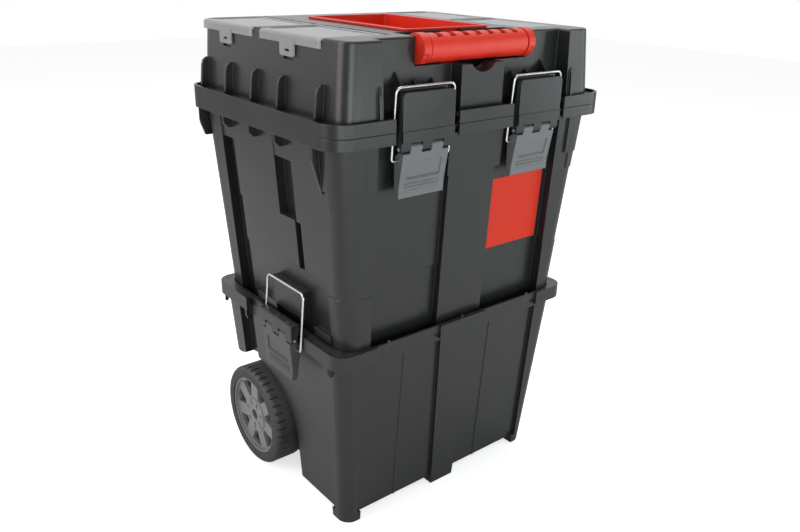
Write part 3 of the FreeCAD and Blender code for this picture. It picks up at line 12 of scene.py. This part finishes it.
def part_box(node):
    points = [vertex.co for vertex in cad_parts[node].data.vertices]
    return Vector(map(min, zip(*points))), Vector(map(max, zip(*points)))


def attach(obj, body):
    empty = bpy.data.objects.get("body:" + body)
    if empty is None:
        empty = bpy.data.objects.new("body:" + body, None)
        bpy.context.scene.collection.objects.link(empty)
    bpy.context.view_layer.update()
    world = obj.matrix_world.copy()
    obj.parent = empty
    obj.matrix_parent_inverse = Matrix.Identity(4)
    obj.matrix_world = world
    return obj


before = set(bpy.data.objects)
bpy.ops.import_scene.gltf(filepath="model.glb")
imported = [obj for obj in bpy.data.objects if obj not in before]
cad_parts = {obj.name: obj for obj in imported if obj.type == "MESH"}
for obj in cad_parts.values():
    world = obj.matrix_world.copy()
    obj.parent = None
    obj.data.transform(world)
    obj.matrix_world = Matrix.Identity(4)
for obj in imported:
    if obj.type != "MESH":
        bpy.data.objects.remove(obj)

log = logging.getLogger("storage_box")
logging.basicConfig(level=logging.INFO, format="%(message)s")

MM = 0.001
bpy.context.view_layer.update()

Colour = tuple[float, float, float]
SIDES = ("left", "right")

# Inputs and output of the colour mix node, by number.
MIX_FACTOR, MIX_A, MIX_B, MIX_RESULT = 0, 6, 7, 2

# Moulded plastic.
DUST_COLOUR: Colour = (0.42, 0.40, 0.37)
RUBBED_GAIN = 1.6
RUBBED_LIFT = 0.03
DEEP_SHARE = 0.82
ROUGH_SPREAD = 0.22
GRAIN_STRENGTH = 0.6
COAT_ROUGH = 0.12
BEVEL_SAMPLES = 6
EDGE_GAIN = 6.0

# Steel.
STEEL_EDGE = 0.0004
STEEL_DULL = 0.72
STEEL_SPREAD = 0.16
STEEL_STRENGTH = 0.25
STEEL_DEPTH = 0.00002

# Set.
LABEL_CELLS = 6
SENSOR = 36.0
NEAREST = 0.02
FLOOR_HALF = 6.0
FLOOR_COLOUR: Colour = (0.86, 0.86, 0.86)
FLOOR_ROUGH = 0.9
AIM = (0, 0, 0.35)
WORLD_LOW = 0.35
WORLD_RISE = 0.65
WORLD_FADE = 0.3


# ---------------------------------------------------------------- shared shader groups
class Shared(Enum):
    """The shader groups that several finishes use."""

    GRAIN = "moulded_grain"
    DUST = "settled_dust"
    EDGE = "rubbed_edge"


def new_group(name: str, inputs: dict[str, float], outputs: list[tuple[str, str]]) -> bpy.types.NodeTree:
    """Make an empty shader group with its sockets.

    Args:
        name: The group's name.
        inputs: Name and default of each float input.
        outputs: Name and socket type of each output.

    Returns:
        The node tree, with its input and output nodes in place.
    """
    tree = bpy.data.node_groups.new(name, "ShaderNodeTree")
    for label, value in inputs.items():
        socket = tree.interface.new_socket(label, in_out="INPUT", socket_type="NodeSocketFloat")
        socket.default_value = value
    for label, kind in outputs:
        tree.interface.new_socket(label, in_out="OUTPUT", socket_type=kind)
    tree.nodes.new("NodeGroupInput").name = "in"
    tree.nodes.new("NodeGroupOutput").name = "out"
    return tree


def wire(tree: bpy.types.NodeTree, start: bpy.types.NodeSocket, end: bpy.types.NodeSocket) -> None:
    """Link two sockets of a tree."""
    tree.links.new(start, end)


def math_node(tree: bpy.types.NodeTree, operation: str, a: object, b: object) -> bpy.types.NodeSocket:
    """Add a maths node.

    Args:
        tree: The tree it goes into.
        operation: The maths operation.
        a: First socket or number.
        b: Second socket or number.

    Returns:
        Its output socket.
    """
    node = tree.nodes.new("ShaderNodeMath")
    node.operation = operation
    for slot, value in zip(node.inputs, (a, b)):
        if isinstance(value, bpy.types.NodeSocket):
            wire(tree, value, slot)
        else:
            slot.default_value = value
    return node.outputs[0]


def noise(tree: bpy.types.NodeTree, scale: object, detail: float, rough: float = 0.5) -> bpy.types.Node:
    """Add a noise texture on object coordinates.

    Args:
        tree: The tree it goes into.
        scale: Scale as a number or a socket.
        detail: Octaves.
        rough: Roughness of the octaves.

    Returns:
        The noise node.
    """
    place = tree.nodes.new("ShaderNodeTexCoord")
    node = tree.nodes.new("ShaderNodeTexNoise")
    wire(tree, place.outputs["Object"], node.inputs["Vector"])
    if isinstance(scale, bpy.types.NodeSocket):
        wire(tree, scale, node.inputs["Scale"])
    else:
        node.inputs["Scale"].default_value = scale
    node.inputs["Detail"].default_value = detail
    node.inputs["Roughness"].default_value = rough
    return node


def grain_group() -> bpy.types.NodeTree:
    """Fine moulded grain: a height for the bump and a slow mottling for colour and roughness."""
    outputs = [("Height", "NodeSocketFloat"), ("Mottle", "NodeSocketFloat")]
    tree = new_group(Shared.GRAIN.value, {"Scale": 900.0}, outputs)
    source, sink = tree.nodes["in"], tree.nodes["out"]
    fine = noise(tree, source.outputs["Scale"], 3.0, 0.6)
    slow = noise(tree, 9.0, 4.0, 0.55)
    wire(tree, fine.outputs["Fac"], sink.inputs["Height"])
    wire(tree, slow.outputs["Fac"], sink.inputs["Mottle"])
    return tree


def edge_group() -> bpy.types.NodeTree:
    """Soft moulded edges: the rounded normal and how strongly an edge shows."""
    outputs = [("Normal", "NodeSocketVector"), ("Edge", "NodeSocketFloat")]
    tree = new_group(Shared.EDGE.value, {"Radius": 0.0012}, outputs)
    source, sink = tree.nodes["in"], tree.nodes["out"]
    bevel = tree.nodes.new("ShaderNodeBevel")
    bevel.samples = BEVEL_SAMPLES
    wire(tree, source.outputs["Radius"], bevel.inputs["Radius"])
    flat = tree.nodes.new("ShaderNodeNewGeometry")
    dot = tree.nodes.new("ShaderNodeVectorMath")
    dot.operation = "DOT_PRODUCT"
    wire(tree, bevel.outputs["Normal"], dot.inputs[0])
    wire(tree, flat.outputs["Normal"], dot.inputs[1])
    gap = math_node(tree, "SUBTRACT", 1.0, dot.outputs["Value"])
    scaled = math_node(tree, "MULTIPLY", gap, EDGE_GAIN)
    wear = noise(tree, 60.0, 4.0, 0.7)
    broken = math_node(tree, "MULTIPLY", scaled, wear.outputs["Fac"])
    capped = math_node(tree, "MINIMUM", broken, 1.0)
    wire(tree, bevel.outputs["Normal"], sink.inputs["Normal"])
    wire(tree, capped, sink.inputs["Edge"])
    return tree


def dust_group() -> bpy.types.NodeTree:
    """A thin, broken film of dust on faces that look up."""
    tree = new_group(Shared.DUST.value, {"Amount": 0.1}, [("Fac", "NodeSocketFloat")])
    source, sink = tree.nodes["in"], tree.nodes["out"]
    shape = tree.nodes.new("ShaderNodeNewGeometry")
    split = tree.nodes.new("ShaderNodeSeparateXYZ")
    wire(tree, shape.outputs["Normal"], split.inputs[0])
    up = math_node(tree, "MAXIMUM", split.outputs["Z"], 0.0)
    cloud = noise(tree, 24.0, 5.0, 0.6)
    film = math_node(tree, "MULTIPLY", up, cloud.outputs["Fac"])
    wire(tree, math_node(tree, "MULTIPLY", film, source.outputs["Amount"]), sink.inputs["Fac"])
    return tree


def use_group(tree: bpy.types.NodeTree, shared: Shared, **inputs: float) -> bpy.types.Node:
    """Add one of the shared groups to a material.

    Args:
        tree: The material's node tree.
        shared: Which group.
        **inputs: Values for the group's inputs.

    Returns:
        The group node.
    """
    node = tree.nodes.new("ShaderNodeGroup")
    node.node_tree = bpy.data.node_groups[shared.value]
    for label, value in inputs.items():
        node.inputs[label].default_value = value
    return node


def mix_colour(tree: bpy.types.NodeTree, factor: object, a: object, b: object) -> bpy.types.NodeSocket:
    """Mix two colours.

    Args:
        tree: The tree it goes into.
        factor: Socket or number.
        a: Socket or colour at 0.
        b: Socket or colour at 1.

    Returns:
        The colour socket.
    """
    node = tree.nodes.new("ShaderNodeMix")
    node.data_type = "RGBA"
    ends = {"Factor": node.inputs[MIX_FACTOR], "A": node.inputs[MIX_A], "B": node.inputs[MIX_B]}
    for label, value in (("Factor", factor), ("A", a), ("B", b)):
        if isinstance(value, bpy.types.NodeSocket):
            wire(tree, value, ends[label])
        elif label == "Factor":
            ends[label].default_value = value
        else:
            ends[label].default_value = (*value, 1.0)
    return node.outputs[MIX_RESULT]


# ---------------------------------------------------------------- finishes
@dataclass(frozen=True)
class Plastic:
    """A moulded plastic.

    Attributes:
        name: Material name.
        colour: Base colour, linear.
        rough: Roughness.
        grain: Scale of the moulded grain.
        depth: Height of the grain in metres.
        edge: Radius of the soft edges in metres.
        wear: How much paler a rubbed edge is.
        dust: Strength of the dust film.
        specular: Specular level.
        coat: Clear gloss on top.
        clear: How much light passes through.
    """

    name: str
    colour: Colour
    rough: float = 0.42
    grain: float = 1400.0
    depth: float = 0.00005
    edge: float = 0.0012
    wear: float = 0.25
    dust: float = 0.10
    specular: float = 0.5
    coat: float = 0.0
    clear: float = 0.0

    def build(self) -> bpy.types.Material:
        """Make the material."""
        material = bpy.data.materials.new(self.name)
        material.use_nodes = True
        tree = material.node_tree
        shader = tree.nodes["Principled BSDF"]
        grain = use_group(tree, Shared.GRAIN, Scale=self.grain)
        edge = use_group(tree, Shared.EDGE, Radius=self.edge)
        dust = use_group(tree, Shared.DUST, Amount=self.dust)
        pale = tuple(min(1.0, c * RUBBED_GAIN + RUBBED_LIFT) for c in self.colour)
        deep = tuple(c * DEEP_SHARE for c in self.colour)
        body = mix_colour(tree, grain.outputs["Mottle"], deep, self.colour)
        worn = math_node(tree, "MULTIPLY", edge.outputs["Edge"], self.wear)
        rubbed = mix_colour(tree, worn, body, pale)
        dusty = mix_colour(tree, dust.outputs["Fac"], rubbed, DUST_COLOUR)
        wire(tree, dusty, shader.inputs["Base Color"])
        about_zero = math_node(tree, "SUBTRACT", grain.outputs["Mottle"], 0.5)
        spread = math_node(tree, "MULTIPLY", about_zero, ROUGH_SPREAD)
        wire(tree, math_node(tree, "ADD", spread, self.rough), shader.inputs["Roughness"])
        bump = tree.nodes.new("ShaderNodeBump")
        bump.inputs["Strength"].default_value = GRAIN_STRENGTH
        bump.inputs["Distance"].default_value = self.depth
        wire(tree, grain.outputs["Height"], bump.inputs["Height"])
        wire(tree, edge.outputs["Normal"], bump.inputs["Normal"])
        wire(tree, bump.outputs["Normal"], shader.inputs["Normal"])
        shader.inputs["Specular IOR Level"].default_value = self.specular
        shader.inputs["Coat Weight"].default_value = self.coat
        shader.inputs["Coat Roughness"].default_value = COAT_ROUGH
        shader.inputs["Transmission Weight"].default_value = self.clear
        return material


@dataclass(frozen=True)
class Steel:
    """A bright or plated steel.

    Attributes:
        name: Material name.
        colour: Base colour, linear.
        rough: Roughness.
        grain: Scale of the drawn lines.
        stretch: How far the lines run along each axis.
    """

    name: str
    colour: Colour
    rough: float = 0.22
    grain: float = 700.0
    stretch: Colour = (1.0, 1.0, 0.05)

    def build(self) -> bpy.types.Material:
        """Make the material."""
        material = bpy.data.materials.new(self.name)
        material.use_nodes = True
        tree = material.node_tree
        shader = tree.nodes["Principled BSDF"]
        place = tree.nodes.new("ShaderNodeTexCoord")
        turn = tree.nodes.new("ShaderNodeMapping")
        turn.inputs["Scale"].default_value = self.stretch
        wire(tree, place.outputs["Object"], turn.inputs["Vector"])
        lines = tree.nodes.new("ShaderNodeTexNoise")
        lines.inputs["Scale"].default_value = self.grain
        lines.inputs["Detail"].default_value = 3.0
        wire(tree, turn.outputs["Vector"], lines.inputs["Vector"])
        edge = use_group(tree, Shared.EDGE, Radius=STEEL_EDGE)
        dull = tuple(c * STEEL_DULL for c in self.colour)
        wire(tree, mix_colour(tree, lines.outputs["Fac"], dull, self.colour), shader.inputs["Base Color"])
        spread = math_node(tree, "MULTIPLY", lines.outputs["Fac"], STEEL_SPREAD)
        wire(tree, math_node(tree, "ADD", spread, self.rough), shader.inputs["Roughness"])
        bump = tree.nodes.new("ShaderNodeBump")
        bump.inputs["Strength"].default_value = STEEL_STRENGTH
        bump.inputs["Distance"].default_value = STEEL_DEPTH
        wire(tree, lines.outputs["Fac"], bump.inputs["Height"])
        wire(tree, edge.outputs["Normal"], bump.inputs["Normal"])
        wire(tree, bump.outputs["Normal"], shader.inputs["Normal"])
        shader.inputs["Metallic"].default_value = 1.0
        return material


@dataclass(frozen=True)
class Finishes:
    """Every finish of the box, by part."""

    shell: Plastic = Plastic("shell_black", (0.010, 0.0105, 0.011), rough=0.32, wear=0.5)
    fitting: Plastic = Plastic("fitting_black", (0.009, 0.0095, 0.010), rough=0.29, wear=0.5)
    clear: Plastic = Plastic("clear_cover", (0.52, 0.53, 0.55), rough=0.30, grain=500.0, depth=0.00001,
                             wear=0.6, dust=0.0, specular=0.45, clear=0.62)
    red_tray: Plastic = Plastic("tray_red", (0.74, 0.026, 0.008), rough=0.36, wear=0.1, dust=0.02)
    red_grip: Plastic = Plastic("grip_red", (0.66, 0.024, 0.008), rough=0.38, wear=0.1, dust=0.0)
    grey_lever: Plastic = Plastic("lever_grey", (0.13, 0.135, 0.142), rough=0.42)
    dark_lever: Plastic = Plastic("lever_dark", (0.045, 0.047, 0.050), rough=0.40)
    hub_grey: Plastic = Plastic("hub_grey", (0.175, 0.18, 0.18), rough=0.42, wear=0.3)
    tyre: Plastic = Plastic("tyre_black", (0.022, 0.022, 0.023), rough=0.62, grain=700.0, depth=0.0001,
                            wear=0.35, dust=0.2)
    tube: Plastic = Plastic("tube_coat", (0.025, 0.025, 0.028), rough=0.30, grain=2200.0, depth=0.00003)
    wire: Steel = Steel("wire_bright", (0.72, 0.73, 0.74), rough=0.16)
    zinc: Steel = Steel("zinc_plate", (0.62, 0.63, 0.65), rough=0.26)


def dress(node: str, material: bpy.types.Material) -> None:
    """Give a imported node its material.

    Args:
        node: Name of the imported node.
        material: The material for all its faces.
    """
    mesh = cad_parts[node].data
    mesh.materials.clear()
    mesh.materials.append(material)
    log.info("dressed %s in %s", node, material.name)


@dataclass
class Dressing:
    """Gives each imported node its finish.

    Attributes:
        finishes: The finishes of the box.
    """

    finishes: Finishes = field(default_factory=Finishes)

    def build(self) -> None:
        """Build every material and hand it to its nodes."""
        look = self.finishes
        table = {
            look.shell: ["bin_shell", "bin_front", "bin_rim", "box_shell", "box_front", "box_rim",
                         "box_hinges", "lid_shell", "lid_front", "lid_flange", "lid_hinges",
                         *self.pairs("organiser", "box_side")],
            look.fitting: ["bracket_lower", "bracket_upper", "trolley_grip", "axle_caps", "axle_saddles",
                           "wheel_spacers",
                           *self.pairs("side_block", "side_keeper", "front_cover", "front_keeper")],
            look.clear: self.pairs("cover_front", "cover_rear"),
            look.red_tray: ["lid_tray"],
            look.red_grip: ["carry_handle"],
            look.grey_lever: self.pairs("front_lever"),
            look.dark_lever: self.pairs("side_lever"),
            look.hub_grey: self.pairs("hub"),
            look.tyre: self.pairs("tyre"),
            look.tube: self.pairs("outer_tube"),
            look.wire: self.pairs("side_bail", "front_bail", "inner_tube"),
            look.zinc: ["axle", "bracket_screws", "lid_hinge_pins", "handle_pins", "cover_pins",
                        "side_latch_pins", "front_latch_pins"],
        }
        for finish, nodes in table.items():
            material = finish.build()
            for node in nodes:
                dress(node, material)

    @staticmethod
    def pairs(*names: str) -> list[str]:
        """Return the left and right node of each name."""
        return [f"{name}_{side}" for name in names for side in SIDES]


# ---------------------------------------------------------------- label
@dataclass
class LabelPlate:
    """The bare red label on the right bay of the upper box.

    Attributes:
        left: Lowest X of the label.
        right: Highest X.
        low: Lowest Z.
        high: Highest Z.
        thick: Thickness of the film.
    """

    left: float = 41 * MM
    right: float = 145 * MM
    low: float = 367 * MM
    high: float = 466 * MM
    thick: float = 0.3 * MM

    def build(self) -> bpy.types.Object:
        """Build the plate and set it on the wall."""
        mesh = bmesh.new()
        bmesh.ops.create_grid(mesh, x_segments=LABEL_CELLS, y_segments=LABEL_CELLS, size=0.5)
        bmesh.ops.scale(mesh, vec=(self.right - self.left, self.high - self.low, 1.0), verts=mesh.verts)
        upright = Matrix.Rotation(math.pi / 2, 3, "X")
        bmesh.ops.rotate(mesh, cent=(0, 0, 0), matrix=upright, verts=mesh.verts)
        middle = Vector(((self.left + self.right) / 2, 0.0, (self.low + self.high) / 2))
        bmesh.ops.translate(mesh, vec=middle, verts=mesh.verts)
        for corner in mesh.verts:
            corner.co.y = self.wall_y(corner.co.x, corner.co.z) - self.thick
        data = bpy.data.meshes.new("front_label")
        mesh.to_mesh(data)
        mesh.free()
        plate = bpy.data.objects.new("front_label", data)
        bpy.context.scene.collection.objects.link(plate)
        plate.data.materials.append(self.material())
        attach(plate, "box")
        log.info("built front_label")
        return plate

    @staticmethod
    def wall_y(x: float, z: float) -> float:
        """Return the Y of the box's front wall at a point, found by a ray from the front."""
        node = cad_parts["box_front"]
        hit, place, _, _ = node.ray_cast(Vector((x, -1.0, z)), Vector((0, 1, 0)))
        return place.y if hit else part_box("box_front")[0].y

    def material(self) -> bpy.types.Material:
        """Return the plain red film."""
        return Plastic("label_red", (0.58, 0.026, 0.008), rough=0.45, grain=300.0, depth=0.00001,
                       wear=0.0, dust=0.0, specular=0.2).build()


# ---------------------------------------------------------------- set
@dataclass
class Studio:
    """Floor, light and camera.

    Attributes:
        lens: Focal length on a 36 mm sensor.
        place: Camera position, measured from the lid rim's front at floor level.
        forward: Direction that the camera looks in.
        roll: Roll in degrees.
        floor_glow: Even white that the floor adds in the camera's view, so that it has no edge.
    """

    lens: float = 34.52
    place: Vector = field(default_factory=lambda: Vector((-0.6654, -0.6514, 0.7354)))
    forward: Vector = field(default_factory=lambda: Vector((0.58794, 0.71694, -0.37459)))
    roll: float = 1.42
    floor_glow: float = 0.62

    def camera(self) -> None:
        """Place the camera."""
        data = bpy.data.cameras.new("camera")
        data.lens = self.lens
        data.sensor_width = SENSOR
        data.clip_start = NEAREST
        eye = bpy.data.objects.new("camera", data)
        bpy.context.scene.collection.objects.link(eye)
        tilt = Matrix.Rotation(math.radians(self.roll), 3, "Z").to_quaternion()
        turn = self.forward.to_track_quat("-Z", "Y") @ tilt
        rim_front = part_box("lid_flange")[0].y
        stand = Matrix.Translation(self.place + Vector((0, rim_front, 0)))
        eye.matrix_world = stand @ turn.to_matrix().to_4x4()
        bpy.context.scene.camera = eye

    def floor(self) -> None:
        """Lay the plain floor."""
        mesh = bmesh.new()
        bmesh.ops.create_grid(mesh, x_segments=1, y_segments=1, size=FLOOR_HALF)
        data = bpy.data.meshes.new("floor")
        mesh.to_mesh(data)
        mesh.free()
        ground = bpy.data.objects.new("floor", data)
        bpy.context.scene.collection.objects.link(ground)
        material = bpy.data.materials.new("floor_white")
        material.use_nodes = True
        tree = material.node_tree
        shader = tree.nodes["Principled BSDF"]
        shader.inputs["Base Color"].default_value = (*FLOOR_COLOUR, 1.0)
        shader.inputs["Roughness"].default_value = FLOOR_ROUGH
        shader.inputs["Emission Color"].default_value = (1.0, 1.0, 1.0, 1.0)
        path = tree.nodes.new("ShaderNodeLightPath")
        glow = math_node(tree, "MULTIPLY", path.outputs["Is Camera Ray"], self.floor_glow)
        wire(tree, glow, shader.inputs["Emission Strength"])
        ground.data.materials.append(material)

    def lamp(self, name: str, place: Vector, size: tuple[float, float], power: float, tint: Colour) -> None:
        """Add one soft lamp that faces the box.

        Args:
            name: The lamp's name.
            place: Where it hangs.
            size: Width and height of the soft box.
            power: Power in watts.
            tint: Colour of the light.
        """
        aim = Vector(AIM)
        data = bpy.data.lights.new(name, "AREA")
        data.shape = "RECTANGLE"
        data.size, data.size_y = size
        data.energy = power
        data.color = tint
        lamp = bpy.data.objects.new(name, data)
        bpy.context.scene.collection.objects.link(lamp)
        turn = (aim - place).to_track_quat("-Z", "Y").to_matrix().to_4x4()
        lamp.matrix_world = Matrix.Translation(place) @ turn

    def build(self) -> None:
        """Build the whole set."""
        self.camera()
        self.floor()
        self.lamp("key", Vector((-2.1, 0.5, 1.3)), (1.4, 2.2), 32.0, (1.0, 0.89, 0.86))
        self.lamp("corner", Vector((-1.3, -1.9, 0.7)), (0.7, 1.2), 15.0, (0.94, 1.0, 0.99))
        self.lamp("low", Vector((0.15, -1.7, 0.42)), (1.9, 0.5), 10.0, (0.93, 1.0, 0.99))
        self.lamp("fill", Vector((2.0, -1.3, 0.7)), (0.7, 1.3), 10.0, (0.92, 1.0, 1.0))
        self.lamp("top", Vector((0.2, 0.4, 2.4)), (1.8, 1.4), 24.0, (1.0, 1.0, 1.0))
        self.world()
        bpy.context.scene.view_settings.view_transform = "Standard"

    @staticmethod
    def world() -> None:
        """Light the scene with a white world, at full only for the camera and the mirrored far side."""
        world = bpy.data.worlds.new("studio")
        world.use_nodes = True
        bpy.context.scene.world = world
        tree = world.node_tree
        back = tree.nodes["Background"]
        back.inputs["Color"].default_value = (1, 1, 1, 1)
        path = tree.nodes.new("ShaderNodeLightPath")
        place = tree.nodes.new("ShaderNodeTexCoord")
        split = tree.nodes.new("ShaderNodeSeparateXYZ")
        wire(tree, place.outputs["Generated"], split.inputs[0])
        behind = tree.nodes.new("ShaderNodeMapRange")
        behind.inputs["From Min"].default_value = -WORLD_FADE
        behind.inputs["From Max"].default_value = WORLD_FADE
        wire(tree, split.outputs["Y"], behind.inputs["Value"])
        glossy, passed = path.outputs["Is Glossy Ray"], path.outputs["Is Transmission Ray"]
        mirrored = math_node(tree, "MAXIMUM", glossy, passed)
        backdrop = math_node(tree, "MULTIPLY", mirrored, behind.outputs[0])
        seen = math_node(tree, "MAXIMUM", path.outputs["Is Camera Ray"], backdrop)
        rise = math_node(tree, "MULTIPLY", seen, WORLD_RISE)
        wire(tree, math_node(tree, "ADD", rise, WORLD_LOW), back.inputs["Strength"])


def main() -> None:
    """Build the groups, the finishes, the label and the set."""
    grain_group()
    edge_group()
    dust_group()
    Dressing().build()
    LabelPlate().build()
    Studio().build()
    bpy.context.view_layer.update()


if __name__ == "__main__":
    main()
